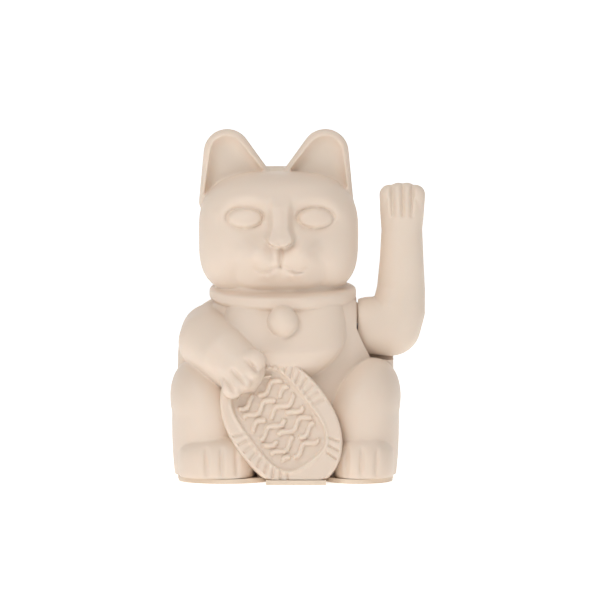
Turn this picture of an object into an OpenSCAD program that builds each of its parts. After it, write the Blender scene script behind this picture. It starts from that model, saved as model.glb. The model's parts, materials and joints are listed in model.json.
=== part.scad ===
// Beckoning cat figurine: a hollow cat of two plastic shells, whose left arm rides on a battery-driven
// pendulum. Frame: +Z up, -Y is the cat's front, +X is the side of the moving arm. The origin is on the
// underside of the base plate, below the arm's pivot line, in the plane where the two shells meet.

/* [Figure] */
// Width of the body over the thighs
figure_w = 97; // [92:1:120]
// Depth of the body, from the tablet's foot to the tail
figure_d = 82; // [78:1:100]
// Height from the underside of the base plate to the ear tips
figure_h = 150; // [144:1:185]
// Wall of the two body shells
shell_wall = 2; // [1.6:0.1:2.6]
// Wall of the two arm shells
arm_wall = 1.2; // [1:0.1:1.8]
// Play between the flat wall of the body and the flat face of the arm
arm_gap = 0.7; // [0.5:0.1:1.5]

/* [Base] */
// Thickness of the base plate
plate_t = 2; // [1.8:0.1:2.6]
// How far the plate's edge lies inside the shells' outer surface
plate_inset = 0.7; // [0.3:0.1:1.5]
// Height of the plate's locating rim inside the shells
rim_h = 3; // [2:0.5:5]
// Radius of the base screws' shanks
base_screw_r = 1.2; // [1:0.1:1.4]
// Radius of the small screws that hold the frame and the circuit board
small_screw_r = 0.9; // [0.8:0.05:1.1]

/* [Pendulum] */
// Radius of the pivot shaft
shaft_r = 1.25; // [1:0.05:2]
// Radial running clearance of the shaft in the frame's bearings
bearing_gap = 0.05; // [0.02:0.01:0.1]
// Clear width between the frame's two side plates
frame_gap = 22; // [20:0.5:24]
// Thickness of each side plate of the frame
frame_t = 2.5; // [2:0.1:3]
// Radius of the drive magnet
magnet_r = 6.5; // [5:0.1:8]
// Height of the drive magnet
magnet_h = 5; // [4:0.1:7]
// Air gap between the magnet's cup and the coil
magnet_gap = 1.6; // [1.2:0.1:3]
// Angle at which the lever hangs behind the pivot, so that the arm stands upright at rest
lever_lean = 0.65; // [0:0.01:3]
// How far the arm swings each way
swing = 18; // [10:1:20]

/* [Electrics] */
// Radius of the cell, size AA
cell_r = 7.1; // [6.9:0.05:7.25]
// Length of the cell with its nub
cell_l = 50; // [49.2:0.1:50.5]
// Play around the cell in its tray
cell_gap = 0.4; // [0.3:0.1:0.8]
// Wall of the cell's tray
tray_wall = 1.2; // [1:0.1:1.6]
// Play around the battery door
door_gap = 0.3; // [0.2:0.05:0.5]
// Thickness of the battery door
door_t = 1.6; // [1.4:0.1:1.8]
// Thickness of the circuit board
board_t = 1.6; // [1:0.1:2]
// Outer radius of the coil's bobbin
bobbin_r = 8; // [7:0.1:9]
// Height of the bobbin
bobbin_h = 8; // [6:0.1:10]
// Travel of the power switch
switch_travel = 2.5; // [2:0.1:3.5]
// Radius of the hook-up wires over their insulation
wire_r = 0.6; // [0.4:0.05:0.8]

/* [Hidden] */
$fn = 48;

// Shares by which the figure's own form grows from its design size
form = [figure_w / 97, figure_d / 82, figure_h / 150];
clear = 0.25;             // play between pieces that are fitted side by side
seam = 0.1;               // half the fine gap between two shells that are glued together
big = 300;                // larger than the figure in every direction

// ---- Places that several pieces share ----
pivot_at = 64.5;                               // height of the shaft at the design size
pocket_at = 30.4;                              // the body's flat wall beside the arm, likewise
pivot_z = pivot_at * form.z;
pocket_x = pocket_at * form.x;
arm_x = pocket_x + arm_gap;                    // the arm's flat inner face
shell_z = plate_t + clear;                     // the shells' lower edge
low_at = shell_z / form.z;
pendulum_x = 10.5 * form.x;                    // middle of the lever, the magnet and the coil
frame_l = pendulum_x - frame_gap / 2;          // inner faces of the frame's side plates
frame_r = pendulum_x + frame_gap / 2;
tray_at = [0, 17 * form.y];                    // middle of the cell's tray
spring_l = 3.6;                                // the spring contact, pressed by a cell
contact_t = 0.4;                               // sheet of the two contacts
cell_z = plate_t + cell_gap + cell_r;          // the cell's axis
tray_r = cell_r + cell_gap + tray_wall;        // outside of the tray's round roof
door_len = cell_l + spring_l + 2 * contact_t;  // clear length of the tray
tray_end = door_len / 2;                       // the tray's ends lie this far from its middle
board_lift = 6;                                // the board's height over the plate
bearing_r = shaft_r + 3;
plate_half = [7.5, bearing_r];                 // half the side plates' depth, at the foot and at the bearing
board_top = plate_t + board_lift + board_t;
coil_top = board_top + bobbin_h;

// =================================================================================================
// The cat's outer form. Each blob bulges from an upright core line at x = core_x, y = 0, and the skin
// is where the outermost blob lies on each level ray from that line. inset makes all blobs smaller,
// which gives the hollow inside.
// =================================================================================================

core_x = -1;              // the core line leans to neither side, so every ray meets the skin once
head_x = -2.6;            // the head sits a little to the cat's right
// A blob is [middle, half width, reach to the front, to the back, down, up, power of its side view]
skull = [[head_x, -2, 103], 34, 24, 27, 33, 29, 2.6];
muzzle = [[head_x, -14, 95], 20, 16.5, 10, 16, 18, 2.3];
nose = [[head_x, -24, 107], 5.5, 9, 6, 8, 13, 2.6];
band = [[0, 0, 79], 33.8, 28.5, 27.5, 6.3, 6.3, 4];
breast = [[0, -2, 46], 37, 27, 30, 80, 42, 2.6];
back = [[0, 3, 48], 47, 12, 30, 80, 34, 2.6];
belly = [[1, -12, 54], 27, 20.5, 16, 28, 36, 2.4];
bell = [[-0.9, -27.5, 68.2], 6.2, 6, 6, 6.2, 6.2, 2];
rump = [[0, 6, 20], 46.5, 15, 30, 60, 26, 2.8];
tail = [[0, 27, 22], 8, 8, 10.9, 16, 12, 2.2];
thighs = [[[-32.4, -8, 29], 16, 26, 32, 52, 26.5, 2.3], [[32.4, -8, 29], 16, 26, 32, 52, 26.5, 2.3]];
feet = [[[-26, -20, 8], 20.5, 18.5, 20, 22, 12.5, 2.6], [[31, -20, 8], 15.6, 18.5, 20, 22, 12.5, 2.6]];

// The cat's right arm is moulded with the body and holds the tablet: [x, y, z, radius] along it
held_arm = [[-33, 0, 62, 13.2], [-34.5, -13, 58.5, 12.2], [-26, -25, 52.5, 10.6], [-19.5, -31.5, 46.5, 9.2]];
arm_blobs = [for (i = [0:len(held_arm) - 2]) for (t = [0:0.25:(i < len(held_arm) - 2 ? 0.75 : 1)])
    let (b = held_arm[i] * (1 - t) + held_arm[i + 1] * t) [[b[0], b[1], b[2]], b[3], b[3], b[3], b[3], b[3], 2]];
blobs = concat([skull, muzzle, nose, band, breast, back, rump, belly, bell, tail], thighs, feet, arm_blobs);

// How far a ray from the core line, level at height z, runs until it leaves an ellipse
function ellipse_hit(o, d, a, b) =
    let (q = d.x * d.x / a / a + d.y * d.y / b / b, h = o.x * d.x / a / a + o.y * d.y / b / b,
        k = h * h - q * (o.x * o.x / a / a + o.y * o.y / b / b - 1))
    k < 0 ? 0 : (sqrt(k) - h) / q;

function blob_hit(blob, z, d, inset) =
    let (m = blob[0], tall = (z < m.z ? blob[4] : blob[5]) - inset, u = abs(z - m.z) / max(tall, 0.1))
    u >= 1 || blob[1] <= inset || blob[2] <= inset ? 0 :
    let (s = pow(1 - pow(u, blob[6]), 1 / blob[6]), o = [core_x - m.x, -m.y],
        front = ellipse_hit(o, d, s * (blob[1] - inset), s * (blob[2] - inset)),
        rear = ellipse_hit(o, d, s * (blob[1] - inset), s * (blob[3] - inset)))
    max(o.y + front * d.y <= 0 ? front : 0, o.y + rear * d.y > 0 ? rear : 0);

// The flat-walled room beside the body in which the arm swings, at design size
room_r = 13.2;
room_h = 40;
function in_room(y, z) = norm([y, z - pivot_at]) < room_r + 1.2
    || (z >= pivot_at && abs(y) < room_r + 1.2 + (z - pivot_at) * tan(swing));

// The skin's distance from the core line. Beside the arm the skin is flat
function skin(z, angle, inset) =
    let (d = [cos(angle), sin(angle)], r = max([for (b = blobs) blob_hit(b, z, d, inset)]),
        wall = pocket_at - inset - core_x)
    d.x > 0.3 && in_room(wall * d.y / d.x, z) ? min(r, wall / d.x) : r;

function skin_point(z, angle, inset) =
    let (r = skin(z, angle, inset))
    [(core_x + r * cos(angle)) * form.x, r * sin(angle) * form.y, z * form.z];

// Heights of the rings, closer together towards the crown
function ring_z(i, n, top) = let (t = i / n) low_at + (top - low_at) * (t - 0.08 * sin(360 * t) / 2);

// Half of the skin as rings from one end of the seam to the other. side is -1 for the front half
function half_skin(side, inset, rings, turns) =
    let (top = skull[0].z + skull[5] - inset)
    concat([for (i = [0:rings - 1]) for (j = [0:turns])
        skin_point(ring_z(i, rings, top), side < 0 ? 180 + 180 * j / turns : 180 * j / turns, inset)],
        [[core_x * form.x, 0, top * form.z]]);

function skin_faces(rings, turns, from, flip) =
    let (w = turns + 1, pole = from + rings * w,
        faces = concat(
            [for (i = [0:rings - 2]) for (j = [0:turns - 1]) let (a = from + i * w + j) [a, a + w, a + 1]],
            [for (i = [0:rings - 2]) for (j = [0:turns - 1]) let (a = from + i * w + j) [a + 1, a + w, a + w + 1]],
            [for (j = [0:turns - 1]) let (a = from + (rings - 1) * w + j) [a, pole, a + 1]]))
    flip ? [for (f = faces) [f[2], f[1], f[0]]] : faces;

// A closed half shell: outer and inner skin, the flat edge below, and the flat edge along the seam
module half_shell(side, outer, inner) {
    skin_out = half_skin(side, 0, outer[0], outer[1]);
    skin_in = half_skin(side, shell_wall, inner[0], inner[1]);
    n = len(skin_out);
    w_out = outer[1] + 1;
    w_in = inner[1] + 1;
    below = concat([for (j = [0:outer[1]]) j], [for (j = [inner[1]:-1:0]) n + j]);
    seam_edge = concat([for (i = [0:outer[0] - 1]) i * w_out], [outer[0] * w_out],
        [for (i = [outer[0] - 1:-1:0]) i * w_out + outer[1]],
        [for (i = [0:inner[0] - 1]) n + i * w_in + inner[1]], [n + inner[0] * w_in],
        [for (i = [inner[0] - 1:-1:0]) n + i * w_in]);
    polyhedron(points = concat(skin_out, skin_in), faces = concat(
        skin_faces(outer[0], outer[1], 0, false), skin_faces(inner[0], inner[1], n, true),
        [below, [for (i = [len(seam_edge) - 1:-1:0]) seam_edge[i]]]));
}

// One ball of a limb: [x, y, z, radius, depth as a share of the radius]
module ball(b, inset = 0, sides = 20) {
    translate([b[0], b[1], b[2]]) scale([1, b[4], 1]) sphere(max(b[3] - inset, 0.3), $fn = sides);
}

// A limb is a row of balls, each joined to the next
module limb(balls, inset = 0, sides = 20) {
    for (i = [0:len(balls) - 2]) hull() {
        ball(balls[i], inset, sides);
        ball(balls[i + 1], inset, sides);
    }
}

// An ear is a slab round a tip and two feet, with a bowl in its front. The skull hides its feet
ear_tip = [21.2, 0, 140.3, 9.8];      // [x from the head's middle, y, z, radius]
ear_feet = [[29.3, 0, 113, 4], [8, 0, 128, 4.5]];
ear_t = 4.4;
ear_rim = 2.2;
module ear_slab(side, y, less, depths) {
    for (i = [0, 1]) hull() for (b = [ear_tip, ear_feet[i], (ear_feet[0] + ear_feet[1]) / 2])
        ball([head_x + side * b[0], y, b[2], b[3] - less, depths[i] / (b[3] - less)], 0, 18);
}
module ear(side) difference() {
    ear_slab(side, -0.5, 0, [ear_t, ear_t]);
    ear_slab(side, -6.5, ear_rim, [ear_t, ear_t - 0.5]);
}

tablet_lean = -11;        // the tablet's face leans back by this angle
tablet_turn = 33;         // its long axis runs from upper left to lower right
tablet_half = [23, 32];   // half its width and half its length
tablet_at = [-1.3, -37.6, 28.5];
tablet_deep = 19;
tablet_back = -27.6;      // the block behind the tablet ends in this plane
tablet_edge = 1.4;        // the rounded edge
tablet_rim = 5.5;         // width of the flat rim around the sunken field
tablet_sink = 0.9;
tablet_foot = [-9, 18];   // where the tablet is cut flat at the bottom, from left to right

function tablet_outline(less, n = 30) = [for (i = [0:n - 1])
    [powered(cos(360 * i / n), 2.25) * (tablet_half.x - less),
    powered(sin(360 * i / n), 2.25) * (tablet_half.y - less)]];
function powered(c, p) = sign(c) * pow(abs(c), 2 / p);

module tablet() difference() {
    translate(tablet_at) rotate([tablet_lean, 0, 0]) rotate([90, 0, 0]) rotate(tablet_turn) difference() {
        hull() {
            translate([0, 0, -tablet_deep]) linear_extrude(tablet_deep) polygon(tablet_outline(0));
            linear_extrude(tablet_edge) polygon(tablet_outline(tablet_edge));
        }
        translate([0, 0, tablet_edge - tablet_sink]) linear_extrude(tablet_edge)
            polygon(tablet_outline(tablet_rim));
    }
    translate([-big, -big, low_at - big]) cube([2 * big, 2 * big, big]);
    translate([-big, tablet_back, -big]) cube(2 * big);
}

// Where the base screws stand, which shell has the boss: -1 for the front and 1 for the rear, and how
// far the boss's rib reaches to the shell's wall
base_bosses = [[-36, -24, -1, 10], [34, -25, -1, 11.2], [-36, 16, 1, 7.8], [36, 16, 1, 7.8]];
boss_r = 3.2;
boss_h = 12;
module at_base_screws(side = 0) {
    for (b = base_bosses) if (side == 0 || b[2] == side)
        translate([b[0] * form.x, b[1] * form.y, 0]) children();
}

// The bosses of one shell, each with a rib out to the shell's wall
module bosses(side, from_z, grow = 0) {
    at_base_screws(side) translate([0, 0, from_z]) cylinder(r = boss_r + grow, h = boss_h, $fn = 24);
    for (b = base_bosses) if (b[2] == side) {
        reach = b[3] * form.y;
        translate([b[0] * form.x - shell_wall / 2 - grow, b[1] * form.y - (side < 0 ? reach : 0), from_z])
            cube([shell_wall + 2 * grow, reach, boss_h]);
    }
}

shaft_hole = shaft_r + 1;      // the shaft passes the body's wall without touching it
fine_skin = [[62, 44], [44, 26]];      // rings and turns of the outer skin, front and rear
coarse_skin = [24, 40];                // and of the hollow

// side is -1 for the front shell and 1 for the rear one
module shell(side) {
    difference() {
        union() {
            translate([0, side * seam, 0]) half_shell(side, fine_skin[side < 0 ? 0 : 1], coarse_skin);
            scale(form) intersection() {
                for (ear_side = [-1, 1]) ear(ear_side);
                translate([-big, side < 0 ? -big - seam : seam, 0]) cube([2 * big, big, big]);
            }
            if (side < 0) scale(form) tablet();
            bosses(side, shell_z);
        }
        on_tray() tray_body(clear, tab_l + clear);
        translate([0, 0, pivot_z]) rotate([0, 90, 0]) cylinder(r = shaft_hole, h = big, $fn = 24);
        at_base_screws(side) cylinder(r = base_screw_r + 0.05, h = shell_z + boss_h - 1, $fn = 24);
    }
}

module front_shell() color([0.88, 0.8, 0.7]) shell(-1);
module rear_shell() color([0.88, 0.8, 0.7]) shell(1);

// The outline of a blob at the plate's height
function slice(blob, inset, turns = 48) =
    let (m = blob[0], z = low_at,
        s = pow(1 - pow(abs(z - m.z) / ((z < m.z ? blob[4] : blob[5]) - inset), blob[6]), 1 / blob[6]))
    [for (j = [0:turns - 1]) let (c = cos(360 * j / turns), d = sin(360 * j / turns)) [
        form.x * (m.x + c * s * (blob[1] - inset)),
        form.y * (m.y + d * s * ((d < 0 ? blob[2] : blob[3]) - inset))]];

// =================================================================================================
// Base plate with the cell's tray, the stands for board, frame and switch
// =================================================================================================

module footprint(inset) {
    for (blob = concat([breast, back, rump], thighs, feet)) polygon(slice(blob, inset));
}

// The plate steps forward under the tablet
module tablet_step() {
    front = tablet_at.y - tablet_at.z * tan(-tablet_lean);
    translate([(tablet_foot.x + plate_inset) * form.x, (front + plate_inset) * form.y])
        square([(tablet_foot.y - tablet_foot.x - 2 * plate_inset) * form.x, 30 * form.y]);
}

boss_hole = base_screw_r + 0.3;          // clearance hole in the plate
head_r = 2.1 * base_screw_r;
head_h = 1.1;
rim_play = 0.7;                          // the rim's play inside the shells
rim_t = 1.3;
frame_foot_y = 4.6;                      // the frame's four screws stand this far from the middle
frame_lug = 6;                           // how far the frame's feet stand out
frame_lift = 3;                          // height of the four stands below the frame
frame_screw_x = [frame_l - frame_t - frame_lug / 2, frame_r + frame_t + frame_lug / 2];
stand_r = 2.4;
board_w = frame_gap - 1.4;
board_y = [-22, 7.5];                    // the board's front and rear edges
board_screws_at = [[pendulum_x - board_w / 2 + 3, board_y[0] + 3],
    [pendulum_x + board_w / 2 - 2.6, board_y[0] + 12]];
switch_at = [37.5 * form.x, -1, plate_t];
switch_body_size = [6, 12, 4.6];
knob = [3, 3, 1.4];                      // the switch's knob, as wide, long and deep
slot_play = 0.3;

door_w = 2 * (cell_r + cell_gap);
door_r = door_t / 2;
door_pin_r = 0.5;
door_pin_l = 1;
door_axis = [tray_end - door_r - door_gap, door_r + 0.2];   // the door's hinge line, along the tray and up
finger = [7, 3.5];                       // the finger notch at the door's free end
tab_x = 3;                               // the contacts' solder tabs stand beside the middle
tab_w = 2.4;
tab_l = 2;

// The tray has a frame of its own: the cell lies along its Y, with the spring at the low end
module on_tray() translate([tray_at.x, tray_at.y, 0]) rotate(-90) children();

// The cell's tray has straight walls and a round roof. more makes it larger, and ends makes it longer
module tray_body(more, ends) {
    translate([0, tray_end + tray_wall + ends, 0]) rotate([90, 0, 0])
        linear_extrude(door_len + 2 * (tray_wall + ends)) {
            translate([-tray_r - more, 0]) square([2 * (tray_r + more), cell_z]);
            translate([0, cell_z]) circle(tray_r + more);
        }
}

// The room for the cell and its contacts, open below, with the ways out for the solder tabs
module tray_room() {
    translate([0, tray_end, 0]) rotate([90, 0, 0]) linear_extrude(door_len) {
        translate([-door_w / 2, -1]) square([door_w, cell_z + 1]);
        translate([0, cell_z]) circle(cell_r + cell_gap);
    }
    for (y = [-tray_end - tray_wall - 1, tray_end - 0.1])
        translate([tab_x - tab_w / 2 - 0.1, y, cell_z - 0.3]) cube([tab_w + 0.2, tray_wall + 1.1, contact_t + 0.6]);
    // the door's pins
    translate([-door_w / 2 - door_pin_l - 0.1, door_axis.x, door_axis.y]) rotate([0, 90, 0])
        cylinder(r = door_pin_r + 0.06, h = door_w + 2 * door_pin_l + 0.2);
    translate([-finger.x / 2, -tray_end - finger.y, -1]) cube([finger.x, finger.y, 1 + 0.9]);
}

module at_frame_screws() for (x = frame_screw_x) for (y = [-frame_foot_y, frame_foot_y])
    translate([x, y, 0]) children();

module base_plate() color([0.82, 0.74, 0.64]) difference() {
    union() {
        linear_extrude(plate_t) {
            footprint(plate_inset);
            tablet_step();
        }
        linear_extrude(plate_t + rim_h) difference() {
            footprint(shell_wall + rim_play);
            footprint(shell_wall + rim_play + rim_t);
            // the rim leaves out the block behind the tablet
            translate([(tablet_at.x - tablet_half.x - 1) * form.x, -big])
                square([2 * (tablet_half.x + 1) * form.x, big + (tablet_back + 0.5) * form.y]);
        }
        on_tray() tray_body(0, 0);
        at_frame_screws() cylinder(r = stand_r, h = plate_t + frame_lift);
        for (p = board_screws_at) translate([p.x, p.y, 0]) cylinder(r = stand_r, h = plate_t + board_lift);
        // two ribs that hold the switch
        for (side = [-1, 1]) translate([switch_at.x + side * (switch_body_size.x / 2 + 0.1 + 0.5) - 0.5,
            switch_at.y - 4, 0]) cube([1, 8, plate_t + 3]);
    }
    on_tray() tray_room();
    at_base_screws() {
        translate([0, 0, -1]) cylinder(r = boss_hole, h = plate_t + rim_h + 2);
        translate([0, 0, -1]) cylinder(r = head_r + 0.2, h = 1 + head_h + 0.1);
    }
    for (side = [-1, 1]) bosses(side, plate_t, clear);
    at_frame_screws() translate([0, 0, 0.8]) cylinder(r = small_screw_r, h = plate_t + frame_lift);
    for (p = board_screws_at) translate([p.x, p.y, 0.8])
        cylinder(r = small_screw_r, h = plate_t + board_lift);
    // the switch's knob passes a slot
    translate([switch_at.x - knob.x / 2 - slot_play,
        switch_at.y - knob.y / 2 - slot_play - switch_travel / 2, -1])
        cube([knob.x + 2 * slot_play, knob.y + switch_travel + 2 * slot_play, plate_t + 2]);
}

// A pan-head screw: its head's underside is at z = 0 and its shank points down
module screw(r, l, head, tall) {
    translate([0, 0, -l]) cylinder(r = r, h = l);
    difference() {
        cylinder(r = head, h = tall);
        for (turn = [0, 90]) rotate(turn) translate([-head * 0.6, -0.25, tall - 0.5]) cube([head * 1.2, 0.5, 1]);
    }
}

module base_screws() color([0.72, 0.73, 0.75]) at_base_screws()
    translate([0, 0, head_h + 0.1]) mirror([0, 0, 1]) screw(base_screw_r, 10, head_r, head_h);

module battery_door() color([0.82, 0.74, 0.64]) on_tray() {
    free_end = -tray_end + door_gap;
    difference() {
        union() {
            translate([-door_w / 2 + door_gap, free_end, door_axis.y - door_r])
                cube([door_w - 2 * door_gap, door_axis.x - free_end, door_t]);
            translate([-door_w / 2 + door_gap, door_axis.x, door_axis.y]) rotate([0, 90, 0])
                cylinder(r = door_r, h = door_w - 2 * door_gap);
        }
        // grip ridges are cut in the underside
        for (i = [0:3]) translate([-4, free_end + 5 + 2 * i, -1]) cube([8, 0.9, 1.5]);
    }
    translate([-door_w / 2 - door_pin_l, door_axis.x, door_axis.y]) rotate([0, 90, 0])
        cylinder(r = door_pin_r, h = door_w + 2 * door_pin_l);
    // the tongue of the snap latch
    translate([-3, free_end, door_axis.y]) cube([6, 0.8, 2.2]);
}

// =================================================================================================
// Cell and contacts
// =================================================================================================

nub = [2.7, 1.3];         // the cell's nub, radius and height

module battery_cell() color([0.25, 0.42, 0.3]) on_tray()
    translate([0, tray_end - contact_t, cell_z]) rotate([90, 0, 0]) {
        cylinder(r = nub.x, h = nub.y + 1);
        translate([0, 0, nub.y]) cylinder(r = cell_r, h = cell_l - nub.y);
    }

// A round wire along points, with one ring of sides at each
function unit(v) = v / norm(v);
function along(p, i) = unit(p[min(i + 1, len(p) - 1)] - p[max(i - 1, 0)]);
module wire(path, r, sides = 8) {
    n = len(path);
    rings = [for (i = [0:n - 1]) let (t = along(path, i),
            u = unit(cross(t, abs(t.z) > 0.9 ? [1, 0.2, 0] : [0.1, 0.2, 1])), v = cross(t, u))
        for (j = [0:sides - 1]) path[i] + r * (u * cos(360 * j / sides) + v * sin(360 * j / sides))];
    polyhedron(points = rings, faces = concat(
        [[for (j = [0:sides - 1]) j]],
        [for (i = [0:n - 2]) for (j = [0:sides - 1]) let (k = (j + 1) % sides)
            [i * sides + j, (i + 1) * sides + j, (i + 1) * sides + k, i * sides + k]],
        [[for (j = [sides - 1:-1:0]) (n - 1) * sides + j]]));
}

// A smooth line through hand-set points, with steps between each pair
function spline(p, steps = 5) = concat([for (i = [0:len(p) - 2]) for (s = [0:steps - 1]) let (t = s / steps,
        a = p[max(i - 1, 0)], b = p[i], c = p[i + 1], d = p[min(i + 2, len(p) - 1)])
    0.5 * (2 * b + (c - a) * t + (2 * a - 5 * b + 4 * c - d) * t * t + (3 * b - a - 3 * c + d) * t * t * t)],
    [p[len(p) - 1]]);

contact_w = 10;
coil_turns = 3;
module spring_contact() color([0.75, 0.76, 0.78]) on_tray() translate([0, -tray_end, cell_z]) {
    translate([-contact_w / 2, 0, -contact_w / 2]) cube([contact_w, contact_t, contact_w]);
    translate([tab_x - tab_w / 2, -tray_wall - tab_l, 0]) cube([tab_w, tray_wall + tab_l, contact_t]);
    steps = 14;
    wire([for (i = [0:coil_turns * steps]) let (s = i / (coil_turns * steps), r = 4.2 - 1.6 * s)
        [r * cos(360 * i / steps), contact_t + (spring_l - 0.4) * s, r * sin(360 * i / steps)]], 0.35, 6);
}

module plate_contact() color([0.75, 0.76, 0.78]) on_tray() translate([0, tray_end, cell_z]) {
    translate([-contact_w / 2, -contact_t, -contact_w / 2]) cube([contact_w, contact_t, contact_w]);
    translate([tab_x - tab_w / 2, -contact_t, 0]) cube([tab_w, tray_wall + tab_l + contact_t, contact_t]);
}

// =================================================================================================
// Circuit board and drive coil
// =================================================================================================

module circuit_board() color([0.16, 0.42, 0.25]) difference() {
    translate([pendulum_x - board_w / 2, board_y[0], board_top - board_t])
        cube([board_w, board_y[1] - board_y[0], board_t]);
    for (p = board_screws_at) translate([p.x, p.y, board_top - board_t - 1])
        cylinder(r = small_screw_r + 0.2, h = board_t + 2);
}

module board_screws() color([0.72, 0.73, 0.75]) for (p = board_screws_at)
    translate([p.x, p.y, board_top]) screw(small_screw_r, board_t + 5, 1.8, 1.2);

core_r = 3.2;
flange = 0.9;
module coil_bobbin() color([0.9, 0.9, 0.86]) translate([pendulum_x, 0, board_top]) rotate_extrude()
    polygon([[1.2, 0], [bobbin_r, 0], [bobbin_r, flange], [core_r, flange], [core_r, bobbin_h - flange],
        [bobbin_r, bobbin_h - flange], [bobbin_r, bobbin_h], [1.2, bobbin_h]]);

module coil_winding() color([0.72, 0.35, 0.16]) translate([pendulum_x, 0, board_top + flange]) difference() {
    cylinder(r = bobbin_r - 0.8, h = bobbin_h - 2 * flange);
    translate([0, 0, -1]) cylinder(r = core_r, h = bobbin_h);
}

leg_r = 0.25;
module transistor() color([0.12, 0.12, 0.13]) translate([pendulum_x + 3.5, -12.5, board_top]) {
    translate([0, 0, 3]) difference() {
        cylinder(r = 2.4, h = 4.8);
        translate([-5, -5 - 1.2, -1]) cube([10, 5, 8]);
    }
    for (x = [-1.27, 0, 1.27]) translate([x, 0, 0]) cylinder(r = leg_r, h = 3.2);
}

module capacitor() color([0.14, 0.2, 0.42]) translate([pendulum_x - 3.5, -12.5, board_top]) {
    translate([0, 0, 0.6]) cylinder(r = 2.5, h = 7.4);
    for (x = [-1.25, 1.25]) translate([x, 0, 0]) cylinder(r = leg_r, h = 1);
}

module resistors() color([0.78, 0.66, 0.48]) for (y = [-16.8, -20])
    translate([pendulum_x + 1, y, board_top + 1.3]) {
        rotate([0, 90, 0]) translate([0, 0, -3]) cylinder(r = 1.1, h = 6);
        rotate([0, 90, 0]) translate([0, 0, -4.5]) cylinder(r = leg_r, h = 9);
        for (x = [-4.5, 4.5]) translate([x, 0, -1.3]) cylinder(r = leg_r, h = 1.3 + leg_r);
    }

// =================================================================================================
// Power switch
// =================================================================================================

module switch_body() color([0.15, 0.15, 0.16]) translate([switch_at.x, switch_at.y, plate_t]) difference() {
    translate([-switch_body_size.x / 2, -switch_body_size.y / 2, 0]) cube(switch_body_size);
    // the channel of the slider
    translate([-knob.x / 2 - 0.6 - clear, -knob.y / 2 - 1.5 - switch_travel / 2 - 0.2, -1])
        cube([knob.x + 1.2 + 2 * clear, knob.y + 3 + switch_travel + 0.4, 1 + 2.4]);
}

module switch_slider() color([0.12, 0.12, 0.13])
    translate([switch_at.x, switch_at.y - switch_travel / 2, plate_t]) {
        translate([-knob.x / 2 - 0.6, -knob.y / 2 - 1.5, 0.2]) cube([knob.x + 1.2, knob.y + 3, 2]);
        translate([-knob.x / 2, -knob.y / 2, 0.6 - plate_t]) cube([knob.x, knob.y, plate_t]);
        for (y = [-0.9, 0, 0.9]) translate([-knob.x / 2, y - 0.15, 0.35 - plate_t]) cube([knob.x, 0.3, 0.4]);
    }

// =================================================================================================
// Hook-up wires between contacts, board and switch
// =================================================================================================

tab_z = cell_z + contact_t + wire_r;       // a wire lies soldered on its tab
pad_z = board_top + wire_r;                // and on its pad of the board
tab_out = tray_end + tray_wall + tab_l / 2;
red_tab = [tray_at.x + tab_out, tray_at.y - tab_x, tab_z];
black_tab = [tray_at.x - tab_out, tray_at.y - tab_x, tab_z];
red_pad = [pendulum_x + board_w / 2 - 1.6, board_y[0] + 6.5, pad_z];
white_pad = [pendulum_x + board_w / 2 - 1.6, board_y[0] + 3, pad_z];
black_pad = [pendulum_x - board_w / 2 + 2, board_y[0] + 13, pad_z];
round_frame = -plate_half[0] - 2.5;        // the wires pass before the frame's side plates
wire_h = board_top + 1.5;

module lead_red() color([0.75, 0.12, 0.1]) wire(spline([red_tab, red_tab + [0.5, -4, 0.6],
    [frame_r + frame_t + 8.5, 4, wire_h], [frame_r + frame_t + 8.5, -4, wire_h],
    [frame_r + frame_t + 3, round_frame - 2, wire_h + 1], red_pad + [3, 0.5, 1.2], red_pad]), wire_r);
module lead_black() color([0.08, 0.08, 0.09]) wire(spline([black_tab, black_tab + [-0.8, -6, 0.6],
    [frame_l - frame_t - 23, 3, wire_h], [frame_l - frame_t - 12, -6, wire_h],
    [frame_l - frame_t - 3, round_frame, wire_h + 1], black_pad + [-2.5, -0.4, 1.4], black_pad]), wire_r);
module lead_white() color([0.9, 0.9, 0.88]) wire(spline([[switch_at.x, switch_at.y - 3, switch_at.z +
    switch_body_size.z + wire_r], [switch_at.x - 1, switch_at.y - 8, switch_at.z + switch_body_size.z + 2],
    [switch_at.x - 10, white_pad.y + 2, wire_h], white_pad + [3.5, -0.5, 1.4], white_pad]), wire_r);

// =================================================================================================
// Pendulum: frame, shaft, lever and magnet
// =================================================================================================

frame_foot_z = plate_t + frame_lift;
foot_t = 2.4;
bridge_z = pivot_z + bearing_r + 3;
bridge_t = 2.5;

module side_plate(x) {
    translate([x, 0, 0]) rotate([90, 0, 90]) linear_extrude(frame_t) {
        polygon([[-plate_half[0], frame_foot_z], [plate_half[0], frame_foot_z],
            [plate_half[1], pivot_z], [plate_half[1], bridge_z + bridge_t],
            [-plate_half[1], bridge_z + bridge_t], [-plate_half[1], pivot_z]]);
    }
}

module pendulum_frame() color([0.93, 0.93, 0.9]) difference() {
    union() {
        side_plate(frame_l - frame_t);
        side_plate(frame_r);
        translate([frame_l - frame_t, -plate_half[1], bridge_z])
            cube([frame_gap + 2 * frame_t, 2 * plate_half[1], bridge_t]);
        for (x = [frame_l - frame_t - frame_lug, frame_r + frame_t])
            translate([x, -plate_half[0], frame_foot_z]) cube([frame_lug, 2 * plate_half[0], foot_t]);
    }
    translate([-big, 0, pivot_z]) rotate([0, 90, 0]) cylinder(r = shaft_r + bearing_gap, h = 2 * big);
    at_frame_screws() cylinder(r = small_screw_r + 0.2, h = 30);
    // windows that save material
    for (x = [frame_l - frame_t - 1, frame_r - 1]) translate([x, 0, pivot_z * 0.38]) rotate([90, 0, 90])
        linear_extrude(frame_t + 2) {
            circle(3.5);
            translate([-2.6, 0]) square([5.2, pivot_z * 0.36]);
            translate([0, pivot_z * 0.36]) circle(2.6);
        }
}

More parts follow.
